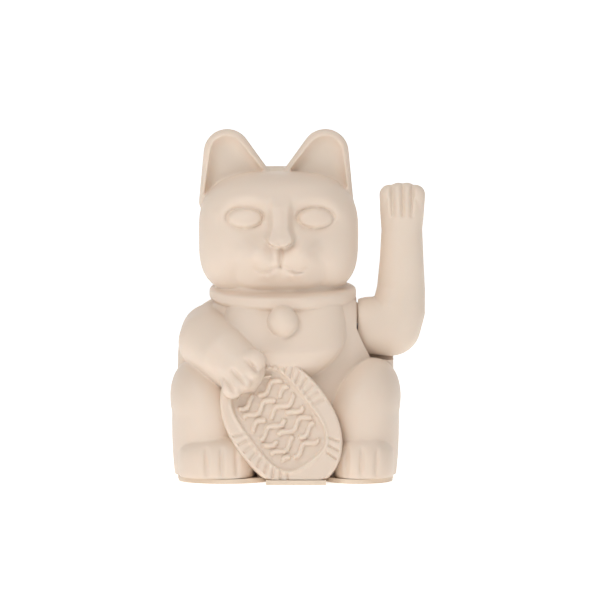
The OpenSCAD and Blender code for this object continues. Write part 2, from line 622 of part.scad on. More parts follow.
module frame_screws() color([0.72, 0.73, 0.75]) at_frame_screws()
    translate([0, 0, frame_foot_z + foot_t]) screw(small_screw_r, foot_t + frame_lift + 0.8, 2, 1.2);

shaft_start = frame_l - frame_t - 4;
socket_l = 10;                              // how deep the shaft sits in the arm
shaft_end = arm_x + socket_l;
clip_t = 0.6;
clip_gap = 0.3;
groove_r = shaft_r - 0.3;
clip_x = [frame_l - frame_t - clip_gap - clip_t, frame_r + frame_t + clip_gap];

module on_pivot(x) translate([x, 0, pivot_z]) rotate([0, 90, 0]) children();

module pivot_shaft() color([0.72, 0.73, 0.75]) difference() {
    on_pivot(shaft_start) cylinder(r = shaft_r, h = shaft_end - shaft_start);
    for (x = clip_x) on_pivot(x) difference() {
        cylinder(r = shaft_r + 1, h = clip_t);
        translate([0, 0, -1]) cylinder(r = groove_r, h = clip_t + 2);
    }
}

module shaft_clips() color([0.5, 0.51, 0.53]) for (x = clip_x) on_pivot(x) difference() {
    cylinder(r = shaft_r + 1.6, h = clip_t);
    translate([0, 0, -1]) cylinder(r = groove_r, h = clip_t + 2);
    translate([0, -groove_r, -1]) cube([10, 2 * groove_r, clip_t + 2]);
}

magnet_top = coil_top + magnet_gap + magnet_h;       // above the coil when the lever hangs straight
cup_wall = 1.2;
hub_r = shaft_r + 2.6;
hub_w = 12;
lever_w = [4, 5];

module on_lever() translate([pendulum_x, 0, pivot_z]) rotate([lever_lean, 0, 0]) children();
lever_drop = pivot_z - magnet_top;                   // from the shaft down to the magnet's top

module pendulum_lever() color([0.93, 0.93, 0.9]) on_lever() difference() {
    union() {
        translate([-hub_w / 2, 0, 0]) rotate([0, 90, 0]) cylinder(r = hub_r, h = hub_w);
        translate([-lever_w.x / 2, -lever_w.y / 2, -lever_drop]) cube([lever_w.x, lever_w.y, lever_drop]);
        translate([0, 0, -lever_drop - magnet_h]) cylinder(r = magnet_r + cup_wall, h = magnet_h + cup_wall);
    }
    translate([-hub_w / 2 - 1, 0, 0]) rotate([0, 90, 0]) cylinder(r = shaft_r, h = hub_w + 2);
    translate([0, 0, -lever_drop - magnet_h - 1]) cylinder(r = magnet_r, h = magnet_h + 1);
}

module drive_magnet() color([0.62, 0.63, 0.65]) on_lever()
    translate([0, 0, -lever_drop - magnet_h]) cylinder(r = magnet_r, h = magnet_h);

// =================================================================================================
// The moving arm
// =================================================================================================

arm_balls = [[39, 0, 64.5, 11.4, 0.95], [46.4, 0, 66, 11.2, 0.92], [48.2, 0, 80, 10.7, 0.88],
    [49, -0.5, 100, 8.8, 0.86], [49.2, -1, 112, 9.3, 0.78], [49.4, -1.4, 117.4, 9.6, 0.74]];
arm_toes = [42.2, 47.4, 52.9, 57];
socket_r = shaft_r + 2.2;
socket_flange = 5.2;

module arm_form(inset = 0) {
    scale(form) intersection() {
        union() {
            limb(arm_balls, inset);
            if (inset == 0) for (x = arm_toes)
                limb([[x, -4.2, 113, 2.9, 1], [x, -4.6, 121.4 - abs(x - 49.6) * 0.2, 3, 1]], 0, 12);
        }
        translate([(arm_x + inset) / form.x, -big / 2, 0]) cube(big);
    }
}

// side is -1 for the front half and 1 for the rear one
module arm_shell(side) {
    difference() {
        arm_form();
        difference() {
            arm_form(arm_wall);
            on_pivot(arm_x) cylinder(r = socket_r + 1.2, h = socket_l + 3, $fn = 32);
        }
        on_pivot(arm_x - 1) cylinder(r = socket_r + 0.1, h = socket_l + 2, $fn = 32);
        on_pivot(arm_x - 1) cylinder(r = socket_flange + 0.1, h = 2, $fn = 32);
        translate([0, side < 0 ? -seam / 2 : -big + seam / 2, -big]) cube([big, big, 2 * big]);
    }
}

module arm_front_shell() color([0.88, 0.8, 0.7]) arm_shell(-1);
module arm_rear_shell() color([0.88, 0.8, 0.7]) arm_shell(1);

module arm_socket() color([0.93, 0.93, 0.9]) difference() {
    union() {
        on_pivot(arm_x + 0.1) cylinder(r = socket_r, h = socket_l + 0.5);
        on_pivot(arm_x + 0.1) cylinder(r = socket_flange, h = 0.8);
    }
    on_pivot(arm_x - 1) cylinder(r = shaft_r, h = socket_l + 1);
}

front_shell();
rear_shell();
base_plate();
base_screws();
battery_door();
battery_cell();
spring_contact();
plate_contact();
circuit_board();
board_screws();
coil_bobbin();
coil_winding();
transistor();
capacitor();
resistors();
switch_body();
switch_slider();
lead_red();
lead_black();
lead_white();
pendulum_frame();
frame_screws();
pivot_shaft();
shaft_clips();
pendulum_lever();
drive_magnet();
arm_socket();
arm_front_shell();
arm_rear_shell();
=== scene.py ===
"""A seated beckoning cat in matte moulded plastic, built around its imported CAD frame.

The cat's left arm rides on the pendulum body and everything else on the body of the figure. Sizes below are
millimetres of the figure at its design height; `unit` turns them into metres of the frame.
"""

import json
import math

import bmesh
import bpy
import numpy as np
from mathutils import Matrix, Vector


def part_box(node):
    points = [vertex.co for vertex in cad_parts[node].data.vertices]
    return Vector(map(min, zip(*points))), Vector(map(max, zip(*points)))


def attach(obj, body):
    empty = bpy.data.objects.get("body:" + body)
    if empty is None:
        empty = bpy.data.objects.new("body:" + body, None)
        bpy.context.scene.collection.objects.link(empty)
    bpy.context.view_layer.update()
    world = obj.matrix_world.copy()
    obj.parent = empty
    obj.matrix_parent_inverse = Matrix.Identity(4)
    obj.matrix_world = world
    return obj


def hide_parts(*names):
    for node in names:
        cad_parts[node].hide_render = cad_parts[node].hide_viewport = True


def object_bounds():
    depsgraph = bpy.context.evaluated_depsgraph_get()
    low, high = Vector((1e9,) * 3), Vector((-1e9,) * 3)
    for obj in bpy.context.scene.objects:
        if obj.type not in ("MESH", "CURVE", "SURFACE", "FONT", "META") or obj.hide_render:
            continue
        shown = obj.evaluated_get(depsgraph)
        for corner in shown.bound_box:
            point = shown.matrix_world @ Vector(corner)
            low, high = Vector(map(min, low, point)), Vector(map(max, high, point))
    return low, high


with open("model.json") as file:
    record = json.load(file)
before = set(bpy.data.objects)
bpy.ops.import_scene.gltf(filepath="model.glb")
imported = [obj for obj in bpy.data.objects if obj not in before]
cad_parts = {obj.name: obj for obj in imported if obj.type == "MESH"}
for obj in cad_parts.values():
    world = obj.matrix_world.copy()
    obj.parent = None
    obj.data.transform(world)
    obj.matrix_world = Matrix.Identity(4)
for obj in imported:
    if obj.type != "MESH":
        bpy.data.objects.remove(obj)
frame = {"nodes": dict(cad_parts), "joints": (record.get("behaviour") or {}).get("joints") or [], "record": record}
cad_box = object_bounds()

DESIGN_HEIGHT = 150.0
unit = cad_box[1].z / DESIGN_HEIGHT
pivot = Vector(next(j for j in frame["joints"] if j["name"] == "wave")["pos_m"]) / unit
pocket_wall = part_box("arm_socket")[0].x / unit - 0.8   # the body's flat wall beside the arm
shell_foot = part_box("front_shell")[0].z / unit         # lower edge of the two body shells


# ---------------------------------------------------------------- camera and light
def camera():
    """A long lens in front of the cat and a little above it."""
    lens = bpy.data.cameras.new("camera")
    lens.sensor_width = 36
    distance = 3.0
    lens.lens = 36 * distance / 0.2575
    holder = bpy.data.objects.new("camera", lens)
    bpy.context.scene.collection.objects.link(holder)
    rise = math.radians(4.0)
    aim = Vector((6.2, 0, 75.7)) * 0.001
    back = Vector((0, -math.cos(rise), math.sin(rise)))
    holder.location = aim + back * distance
    holder.rotation_euler = (-back).to_track_quat("-Z", "Y").to_euler()
    bpy.context.scene.camera = holder


def softbox(name, place, size, watts):
    """A square soft light that faces the middle of the cat."""
    lamp = bpy.data.lights.new(name, "AREA")
    lamp.size = size
    lamp.energy = watts
    holder = bpy.data.objects.new(name, lamp)
    bpy.context.scene.collection.objects.link(holder)
    holder.location = place
    aim = Vector((0, 0, 0.07)) - Vector(place)
    holder.rotation_euler = aim.to_track_quat("-Z", "Y").to_euler()


# ---------------------------------------------------------------- shader graph
class Value:
    """A socket of a shader tree whose sums and products add Math nodes."""

    def __init__(self, tree, socket):
        self.tree = tree
        self.socket = socket

    def math(self, operation, *others):
        node = self.tree.nodes.new("ShaderNodeMath")
        node.operation = operation
        for slot, other in zip(node.inputs, (self, *others)):
            connect(self.tree, slot, other)
        return Value(self.tree, node.outputs[0])

    def __add__(self, other):
        return self.math("ADD", other)

    def __mul__(self, other):
        return self.math("MULTIPLY", other)

    def __sub__(self, other):
        return self.math("SUBTRACT", other)

    def __rsub__(self, other):
        return (self * -1.0).math("ADD", other)

    __radd__ = __add__
    __rmul__ = __mul__


def connect(tree, slot, value):
    """Links a value to a socket, or sets the socket to a number or colour."""
    if isinstance(value, Value):
        tree.links.new(value.socket, slot)
    elif isinstance(value, tuple) and len(value) == 3 and slot.type == "RGBA":
        slot.default_value = (*value, 1.0)
    else:
        slot.default_value = value


class Finish:
    """One material and the nodes that feed its Principled shader."""

    def __init__(self, name):
        self.material = bpy.data.materials.new(name)
        self.material.use_nodes = True
        self.tree = self.material.node_tree
        self.tree.nodes.clear()
        self.shader = self.tree.nodes.new("ShaderNodeBsdfPrincipled")
        output = self.tree.nodes.new("ShaderNodeOutputMaterial")
        self.tree.links.new(self.shader.outputs[0], output.inputs["Surface"])
        self.place = self.node("ShaderNodeTexCoord", out="Object")

    def node(self, kind, settings=None, out=0, **values):
        """Adds a node, sets it, feeds its sockets, and gives one of its outputs."""
        node = self.tree.nodes.new(kind)
        for key, value in (settings or {}).items():
            setattr(node, key, value)
        for key, value in values.items():
            connect(self.tree, node.inputs[key.replace("_", " ")], value)
        return Value(self.tree, node.outputs[out])

    def noise(self, scale, detail=3.0, roughness=0.5):
        return self.node("ShaderNodeTexNoise", Vector=self.place, Scale=scale, Detail=detail,
                         Roughness=roughness)

    def blend(self, amount, first, second):
        node = self.tree.nodes.new("ShaderNodeMix")
        node.data_type = "RGBA"
        connect(self.tree, node.inputs["Factor"], amount)
        connect(self.tree, node.inputs["A"], first)
        connect(self.tree, node.inputs["B"], second)
        return Value(self.tree, node.outputs["Result"])

    def bump(self, height, strength, distance):
        return self.node("ShaderNodeBump", Height=height, Strength=strength, Distance=distance)

    def set(self, **values):
        for key, value in values.items():
            connect(self.tree, self.shader.inputs[key.replace("_", " ")], value)
        return self.material


def tone(colour, share):
    return tuple(min(1.0, c * share) for c in colour)


def moulded_plastic(name, colour, roughness, grain=0.35, mottle=0.04, glow=0.0):
    """Plastic from a finely eroded mould: faint clouds of colour, a grain that breaks up the shine."""
    finish = Finish(name)
    clouds = finish.noise(45.0, 2.0)
    grit = finish.noise(2600.0, 2.0, 0.6)
    wave = finish.noise(120.0, 2.0)
    finish.set(
        Base_Color=finish.blend(clouds, tone(colour, 1 - mottle), tone(colour, 1 + mottle)),
        Roughness=roughness - 0.04 + clouds * 0.05 + grit * 0.03,
        Normal=finish.bump(grit * 0.6 + wave * 0.4, grain, 0.00006),
        IOR=1.47,
        Specular_IOR_Level=0.42,
    )
    if glow:
        finish.set(Subsurface_Weight=glow, Subsurface_Scale=0.004, Subsurface_Radius=(1.0, 0.62, 0.42))
    return finish.material


def drawn_metal(name, colour, roughness, direction=(1.0, 1.0, 1.0)):
    """Plated steel or copper with fine lines along the way it was drawn."""
    finish = Finish(name)
    stretched = finish.node("ShaderNodeMapping", Vector=finish.place, Scale=direction)
    lines = finish.node("ShaderNodeTexNoise", Vector=stretched, Scale=900.0, Detail=3.0)
    smears = finish.noise(180.0, 2.0)
    return finish.set(
        Base_Color=finish.blend(smears, tone(colour, 0.88), tone(colour, 1.05)),
        Metallic=1.0,
        Roughness=roughness - 0.06 + lines * 0.12,
        Normal=finish.bump(lines, 0.25, 0.00003),
    )


def printed_board(name):
    """Green solder mask with the faint relief of the tracks below it."""
    finish = Finish(name)
    cells = finish.node("ShaderNodeTexVoronoi", {"distance": "MANHATTAN"}, Vector=finish.place, Scale=420.0)
    tracks = cells.math("GREATER_THAN", 0.42)
    return finish.set(
        Base_Color=finish.blend(tracks, (0.018, 0.11, 0.045), (0.03, 0.19, 0.075)),
        Roughness=0.32 + finish.noise(300.0) * 0.1,
        Coat_Weight=0.3,
        Normal=finish.bump(tracks, 0.3, 0.00004),
    )


def wound_wire(name):
    """Enamelled copper: the turns lie side by side along the bobbin."""
    finish = Finish(name)
    turns = finish.node("ShaderNodeTexWave", {"bands_direction": "Z", "wave_profile": "SIN"},
                        Vector=finish.place, Scale=1100.0, Distortion=0.6, Detail=1.0)
    return finish.set(
        Base_Color=finish.blend(turns, (0.25, 0.07, 0.02), (0.66, 0.27, 0.09)),
        Metallic=0.7,
        Roughness=0.34 + finish.noise(500.0) * 0.12,
        Coat_Weight=0.5,
        Normal=finish.bump(turns, 0.8, 0.0001),
    )


def cell_sleeve(name):
    """A shrunk plastic sleeve with a pale band round the end of the cell."""
    finish = Finish(name)
    parts = finish.node("ShaderNodeSeparateXYZ", out="X", Vector=finish.place)
    band = parts.math("GREATER_THAN", 0.0125)
    creases = finish.noise(150.0)
    return finish.set(
        Base_Color=finish.blend(band, (0.03, 0.13, 0.06), (0.62, 0.6, 0.5)),
        Roughness=0.25 + creases * 0.15,
        Coat_Weight=0.4,
        Normal=finish.bump(creases, 0.2, 0.0001),
    )


# ---------------------------------------------------------------- mesh helpers
def new_piece(name, bm):
    """A mesh object from a bmesh, in the scene, with its place in its mesh."""
    mesh = bpy.data.meshes.new(name)
    bm.to_mesh(mesh)
    bm.free()
    piece = bpy.data.objects.new(name, mesh)
    bpy.context.scene.collection.objects.link(piece)
    return piece


def finish_modifiers(piece):
    """Applies every modifier on the piece to its mesh."""
    graph = bpy.context.evaluated_depsgraph_get()
    made = bpy.data.meshes.new_from_object(piece.evaluated_get(graph), depsgraph=graph)
    old = piece.data
    piece.modifiers.clear()
    piece.data = made
    bpy.data.meshes.remove(old)
    return piece


def discard(*pieces):
    for piece in pieces:
        bpy.data.objects.remove(piece, do_unlink=True)


def combine(piece, operation, *others):
    """Boolean with closed solids, in turn, which are used up."""
    for other in others:
        modifier = piece.modifiers.new("cut", "BOOLEAN")
        modifier.operation = operation
        modifier.solver = "MANIFOLD"
        modifier.object = other
    finish_modifiers(piece)
    discard(*others)
    return piece


def fuse(piece, voxel, rounds=2, factor=0.5):
    """Remeshes overlapping lumps as one skin, and relaxes it."""
    modifier = piece.modifiers.new("skin", "REMESH")
    modifier.mode = "VOXEL"
    modifier.voxel_size = voxel * unit
    if rounds:
        relax = piece.modifiers.new("relax", "SMOOTH")
        relax.factor = factor
        relax.iterations = rounds
    return finish_modifiers(piece)


def lump(bm, at, half, back=None, down=None, front=2.4, top=2.4, foot=None, lean=0.0):
    """A rounded block. half is its reach to the side, to the front and up; back and down are the others.
    front and top are the powers that square it off, and foot the power below its middle. lean is how far
    its upper part shifts to the side for each millimetre up."""
    made = bmesh.ops.create_icosphere(bm, subdivisions=5, radius=1.0)["verts"]
    for v in made:
        x, y, z = v.co
        power = (foot or top) if z < 0 else top
        grow = (abs(x) ** power + abs(z) ** power) ** (1 / power) if abs(x) + abs(z) > 1e-9 else 0.0
        grow = (grow ** front + abs(y) ** front) ** (1 / front)
        x, y, z = x / grow, y / grow, z / grow
        x *= half[0]
        y *= half[1] if y < 0 else (back or half[1])
        z *= half[2] if z > 0 else (down or half[2])
        v.co = Vector((at[0] + x + lean * max(z, 0.0), at[1] + y, at[2] + z)) * unit
    return made


def hull_of(bm, balls, detail=4):
    """Adds one solid round all the balls. A ball is x, y, z, radius and its half depth."""
    cloud = bmesh.new()
    for x, y, z, r, depth in balls:
        made = bmesh.ops.create_icosphere(cloud, subdivisions=detail, radius=r * unit)["verts"]
        bmesh.ops.scale(cloud, verts=made, vec=(1, depth / r, 1))
        bmesh.ops.translate(cloud, verts=made, vec=Vector((x, y, z)) * unit)
    bmesh.ops.delete(cloud, geom=cloud.edges[:], context="EDGES_FACES")
    hull = bmesh.ops.convex_hull(cloud, input=cloud.verts[:])
    inner = {g for g in hull["geom_interior"] if isinstance(g, bmesh.types.BMVert)}
    bmesh.ops.delete(cloud, geom=list(inner), context="VERTS")
    bmesh.ops.recalc_face_normals(cloud, faces=cloud.faces[:])
    mesh = bpy.data.meshes.new("hull")
    cloud.to_mesh(mesh)
    cloud.free()
    bm.from_mesh(mesh)
    bpy.data.meshes.remove(mesh)


def chain(bm, balls, detail=4):
    """A limb: each ball is joined to the next by their hull. A ball is x, y, z, radius and depth share."""
    balls = [(x, y, z, r, r * (rest[0] if rest else 1.0)) for x, y, z, r, *rest in balls]
    for pair in zip(balls, balls[1:]):
        hull_of(bm, pair, detail)


def box_solid(name, low, high):
    bm = bmesh.new()
    made = bmesh.ops.create_cube(bm, size=1.0)["verts"]
    low, high = Vector(low) * unit, Vector(high) * unit
    bmesh.ops.scale(bm, verts=made, vec=high - low)
    bmesh.ops.translate(bm, verts=made, vec=(low + high) / 2)
    return new_piece(name, bm)


def rod_solid(name, start, direction, radius, length):
    """A cylinder from start along direction."""
    bm = bmesh.new()
    made = bmesh.ops.create_cone(bm, cap_ends=True, segments=48, radius1=radius * unit,
                                 radius2=radius * unit, depth=length * unit)["verts"]
    way = Vector(direction).normalized()
    turn = way.to_track_quat("Z", "Y").to_matrix()
    bmesh.ops.rotate(bm, verts=made, matrix=turn)
    bmesh.ops.translate(bm, verts=made, vec=(Vector(start) + way * length / 2) * unit)
    return new_piece(name, bm)


# ---------------------------------------------------------------- sculpting on a finished skin
class Skin:
    """The vertices of a piece as design millimetres, to be pushed in strokes and put back."""

    def __init__(self, piece):
        self.piece = piece
        count = len(piece.data.vertices)
        raw = np.zeros(count * 3)
        piece.data.vertices.foreach_get("co", raw)
        self.co = raw.reshape(-1, 3) / unit
        raw = np.zeros(count * 3, np.float32)
        piece.data.vertices.foreach_get("normal", raw)
        self.normal = raw.reshape(-1, 3).astype(float)

    def put_back(self):
        self.piece.data.vertices.foreach_set("co", (self.co * unit).ravel())
        self.piece.data.update()
        return self.piece


def soft_step(value, low, high):
    t = np.clip((value - low) / (high - low), 0, 1)
    return t * t * (3 - 2 * t)


def stroke_distance(u, v, line):
    """How far points (u, v) lie from a polyline, and how far along it, from 0 to 1."""
    best = np.full(len(u), 1e9)
    share = np.zeros(len(u))
    for k, ((a, b), (c, d)) in enumerate(zip(line, line[1:])):
        length2 = (c - a) ** 2 + (d - b) ** 2
        t = np.clip(((u - a) * (c - a) + (v - b) * (d - b)) / length2, 0, 1)
        far = np.hypot(u - a - t * (c - a), v - b - t * (d - b))
        near = far < best
        best = np.where(near, far, best)
        share = np.where(near, (k + t) / (len(line) - 1), share)
    return best, share


def curve_line(points, steps=6):
    """A smooth line through a few points."""
    line = []
    for i in range(len(points) - 1):
        a, b = np.array(points[max(i - 1, 0)]), np.array(points[i])
        c, d = np.array(points[i + 1]), np.array(points[min(i + 2, len(points) - 1)])
        for t in np.arange(steps) / steps:
            line.append(tuple(0.5 * (2 * b + (c - a) * t + (2 * a - 5 * b + 4 * c - d) * t * t
                                     + (3 * b - a - 3 * c + d) * t ** 3)))
    return line + [tuple(points[-1])]


def ridge(u, v, line, width, height, taper=0.0):
    """Height of a rounded ridge along a line; negative heights make a groove."""
    far, share = stroke_distance(u, v, line)
    ends = 1 - taper + taper * np.sin(np.clip(share, 0, 1) * math.pi)
    return height * ends * np.exp(-((far / (width / 2)) ** 2))


def dome(u, v, at, half, height, power=2.0):
    """Height of a soft oval swelling."""
    r = np.abs((u - at[0]) / half[0]) ** power + np.abs((v - at[1]) / half[1]) ** power
    return height * np.exp(-r * 1.4)


# ---------------------------------------------------------------- the head
# the head, the ears and the face are each a little off the body's middle
HEAD_MIDDLE = -3.0
EAR_MIDDLE = -4.0
FACE_MIDDLE = -2.2


def ear_pair(bm, shrink, y, depth):
    """Both ears as three-cornered slabs: the tip, the outer foot and the inner foot of each."""
    for side in (-1, 1):
        hull_of(bm, [
            (EAR_MIDDLE + side * 21.0, y, 139.2, 10.2 - shrink, depth),
            (EAR_MIDDLE + side * 28.2, y, 118.0, 5.0 - shrink * 0.9, depth),
            (EAR_MIDDLE + side * 6.0, y, 127.6, 4.8 - shrink * 0.9, depth),
        ])


def face_relief(skin):
    """Brows, eyes, nose, cheeks and mouth, pushed out of and into the front of the head."""
    u = skin.co[:, 0] - FACE_MIDDLE
    v = skin.co[:, 2]
    mirrored = np.abs(u)
    front = soft_step(-skin.co[:, 1], 9.0, 15.0) * soft_step(-skin.normal[:, 1], 0.05, 0.35)
    out = np.zeros(len(u))
    # the two pads of the muzzle, the cheeks, and the hollow under the lip
    out += dome(mirrored, v, (9.6, 97.4), (8.2, 6.6), 3.6, 2.4)
    out += dome(mirrored, v, (10.8, 100.2), (5.2, 5.0), 1.3)
    out += dome(u, v, (0, 96.0), (17.0, 9.5), 1.8, 2.4)
    out += dome(mirrored, v, (24.5, 99.0), (8.0, 13.0), 1.3)
    out -= dome(mirrored, v, (16.0, 88.5), (6.0, 5.5), 1.4)
    out -= dome(u, v, (0, 85.2), (16.0, 4.2), 1.3)
    # the sockets, deepest beside the nose, and the eyeballs with their cut outline
    eu, ev = mirrored - 15.0, v - 112.1
    socket = (np.abs(eu + 1.5) / 12.0) ** 2.4 + (np.abs(ev - 0.6) / 7.2) ** 2.4
    out -= 3.0 * np.exp(-socket * 1.1)
    almond = np.sqrt((eu / 7.3) ** 2 + (ev / np.where(ev > 0, 4.15, 3.95)) ** 2)
    out += 3.1 * np.sqrt(np.clip(1 - almond ** 2.4, 0, 1))
    cut = np.where(ev > -1.0, 1.25, 0.6)
    out -= cut * np.exp(-(((almond - 1.09) / 0.1) ** 2))
    # brows run from the nose's root over the eyes
    brow = curve_line([(5.0, 117.8), (9.0, 119.8), (14.5, 120.6), (21.0, 119.0), (25.6, 114.6)])
    out += ridge(mirrored, v, brow, 5.5, 1.1, 0.35)
    # the bridge of the nose has steep sides, and ends in a rounded tip over the lip
    half = 4.5 + 1.7 * soft_step(-v, -108.5, -103.0)
    rise = 1.2 + 4.4 * soft_step(-v, -122.0, -103.5)
    root = soft_step(-v, -123.5, -116.5)
    sill = 99.6 + 3.4 * np.clip(mirrored / 6.2, 0, 1) ** 2.2
    under = soft_step(v, sill, sill + 1.3)
    tip = 0.9 * dome(u, v, (0, 103.2), (5.6, 3.6), 1.0)
    out += (rise + tip) * root * under * (1 - soft_step(mirrored, half - 1.6, half + 1.0))
    # the lip's groove with its bright ridge, and the short mouth
    out += ridge(u, v, [(-1.6, 99.4), (-1.5, 92.6)], 2.4, 0.9)
    out -= ridge(u, v, [(0.6, 100.0), (0.5, 96.0), (0.1, 92.0)], 1.3, 1.5)
    mouth = curve_line([(0.2, 92.0), (3.6, 90.8), (7.0, 89.7), (9.2, 89.9), (11.0, 91.2)])
    out -= ridge(mirrored, v, mouth, 1.5, 1.3, 0.7)
    out += dome(mirrored, v, (5.4, 87.9), (3.2, 2.0), 2.0)
    out -= dome(mirrored, v, (6.4, 85.4), (3.4, 1.0), 0.6)
    skin.co[:, 1] -= out * front


def head():
    bm = bmesh.new()
    # the back of the head, and the ears with their bowls
    lump(bm, (HEAD_MIDDLE, 2.5, 107.0), (33.4, 10.0, 26.2), back=24.5, down=25.0,
         front=2.3, top=2.9, foot=3.4)
    back = fuse(new_piece("head_back", bm), 0.7, 0)
    bm = bmesh.new()
    ear_pair(bm, 0.0, -1.2, 5.4)
    ears = fuse(new_piece("ears", bm), 0.5, 2)
    combine(back, "UNION", ears)
    bm = bmesh.new()
    ear_pair(bm, 2.0, -7.6, 7.0)
    combine(back, "DIFFERENCE", fuse(new_piece("bowls", bm), 0.5, 2))
    # the mask of the face stands in front of them
    bm = bmesh.new()
    lump(bm, (HEAD_MIDDLE, -3.0, 105.6), (34.2, 22.5, 25.6), back=9.0, down=27.5,
         front=2.5, top=2.75, foot=3.6)
    lump(bm, (HEAD_MIDDLE + 0.6, -10.0, 94.0), (24.0, 17.2, 15.0), back=12.0, down=15.0,
         front=2.3, top=2.3, foot=2.6)
    mask = fuse(new_piece("mask", bm), 0.55, 6)
    combine(back, "UNION", mask)
    piece = fuse(back, 0.48, 2)
    piece.name = "head"
    skin = Skin(piece)
    face_relief(skin)
    return skin.put_back()


# ---------------------------------------------------------------- the body and its limbs
def toe_grooves(skin, toes, top, foot, depth, width):
    """Short soft grooves down the front of a foot."""
    u, v = skin.co[:, 0], skin.co[:, 2]
    front = soft_step(-skin.co[:, 1], 27.0, 32.0) * soft_step(-skin.normal[:, 1], 0.0, 0.4)
    for x in toes:
        line = [(x, top), (x * 0.997, (top + foot) / 2), (x * 0.99, foot)]
        skin.co[:, 1] += ridge(u, v, line, width, depth, 0.55) * front


def feet():
    bm = bmesh.new()
    lump(bm, (33.2, -20.5, 8.8), (13.2, 18.6, 11.9), back=22.0, down=16.0, front=2.5, top=2.6)
    lump(bm, (-29.2, -20.5, 8.8), (16.6, 18.6, 11.8), back=22.0, down=16.0, front=2.5, top=2.7)
    piece = fuse(new_piece("feet", bm), 0.5, 3)
    skin = Skin(piece)
    toe_grooves(skin, (26.0, 32.4, 38.8), 14.6, 4.2, 1.7, 1.9)
    toe_grooves(skin, (-33.8, -27.3, -20.9), 14.6, 4.2, 1.7, 1.9)
    return skin.put_back()


def thighs():
    bm = bmesh.new()
    for side in (-1, 1):
        lump(bm, (side * 32.8, -8.0, 28.5), (15.9, 26.4, 23.0), back=30.0, down=50.0,
             front=2.2, top=2.05, foot=2.6, lean=side * 0.2)
    return fuse(new_piece("thighs", bm), 0.6, 3)


def torso():
    bm = bmesh.new()
    lump(bm, (0, -2.0, 46.0), (36.8, 22.6, 42.0), back=30.0, down=80.0, front=2.4, top=2.6, foot=5.0)
    lump(bm, (0, 3.0, 48.0), (46.4, 11.5, 33.6), back=29.4, down=80.0, front=2.6, top=2.6, foot=5.0)
    lump(bm, (0, 6.0, 20.0), (46.2, 15.0, 26.0), back=29.6, down=60.0, front=2.6, top=2.8, foot=5.0)
    return fuse(new_piece("torso", bm), 0.8, 4)


def belly():
    """The bib of the belly stands out with a crisp edge at its sides."""
    bm = bmesh.new()
    made = lump(bm, (-0.3, -14.5, 62.0), (26.2, 19.2, 24.0), back=10.0, down=20.5,
                front=3.4, top=3.0, foot=1.75)
    for v in made:
        v.co.y += max(0.0, v.co.z - 56 * unit) * 0.42
    return fuse(new_piece("belly", bm), 0.6, 2)


def collar():
    """The neck, and round it a band that hangs lower in front."""
    bm = bmesh.new()
    made = bmesh.ops.create_icosphere(bm, subdivisions=6, radius=1.0)["verts"]
    for v in made:
        x, y, z = v.co
        grow = (math.hypot(x, y) ** 5 + abs(z) ** 5) ** (-1 / 5)
        v.co = Vector((x * grow * 31.5, y * grow * (29.4 if y < 0 else 27.0), z * grow * 3.7)) * unit
    bmesh.ops.rotate(bm, verts=made, matrix=Matrix.Rotation(math.radians(6.0), 3, "X"))
    bmesh.ops.translate(bm, verts=made, vec=Vector((-1.2, 0, 79.0)) * unit)
    lump(bm, (-2.0, 1.0, 82.0), (28.0, 21.5, 9.0), back=22.0, front=2.2, top=2.6)
    return fuse(new_piece("collar", bm), 0.5, 1)


def bell():
    bm = bmesh.new()
    made = bmesh.ops.create_icosphere(bm, subdivisions=5, radius=6.5 * unit)["verts"]
    bmesh.ops.translate(bm, verts=made, vec=Vector((-1.1, -29.6, 68.6)) * unit)
    return new_piece("bell", bm)


def held_arm():
    """The right arm lies over the belly, and its paw holds the tablet's upper edge."""
    bm = bmesh.new()
    chain(bm, [(-31.8, -1.0, 61.2, 13.2), (-32.6, -14.0, 58.9, 13.2), (-25.6, -25.2, 54.0, 12.2),
               (-19.2, -31.6, 48.8, 10.9)])
    toes = [(-22.6, 40.9), (-18.3, 44.2), (-14.8, 48.4), (-12.7, 53.0)]
    for x, z in toes:
        chain(bm, [(-22.0, -33.5, 50.2, 6.4), (x, -38.6, z, 4.5)], 3)
    piece = fuse(new_piece("held_arm", bm), 0.5, 3)
    skin = Skin(piece)
    u, v = skin.co[:, 0], skin.co[:, 2]
    front = soft_step(-skin.co[:, 1], 34.0, 37.0)
    grooves = (
        [(-25.6, 45.4), (-21.6, 39.4)],
        [(-22.3, 48.6), (-17.2, 43.2)],
        [(-16.4, 52.9), (-12.0, 48.4)],
    )
    for line in grooves:
        skin.co[:, 1] += ridge(u, v, line, 1.8, 1.9, 0.4) * front
    return skin.put_back()


def tail():
    bm = bmesh.new()
    chain(bm, [(0, 27.0, 8.0, 7.6), (1.0, 29.4, 22.0, 7.2), (4.5, 29.6, 31.0, 6.0), (10.0, 28.4, 35.0, 4.8)])
    return fuse(new_piece("tail", bm), 0.6, 4)


# ---------------------------------------------------------------- the tablet
TABLET = {
    "at": (-1.8, -37.2, 26.6),
    "half": (21.9, 30.6),
    "deep": 12.5,
    "turn": 36.5,
    "lean": -11.0,
    "power": 2.18,
}


def tablet_place():
    """The tablet's own frame: X over its width, Y along it, and Z out of its face."""
    at = Matrix.Translation(Vector(TABLET["at"]) * unit)
    lean = Matrix.Rotation(math.radians(90 + TABLET["lean"]), 4, "X")
    turn = Matrix.Rotation(math.radians(TABLET["turn"]), 4, "Z")
    return at @ lean @ turn


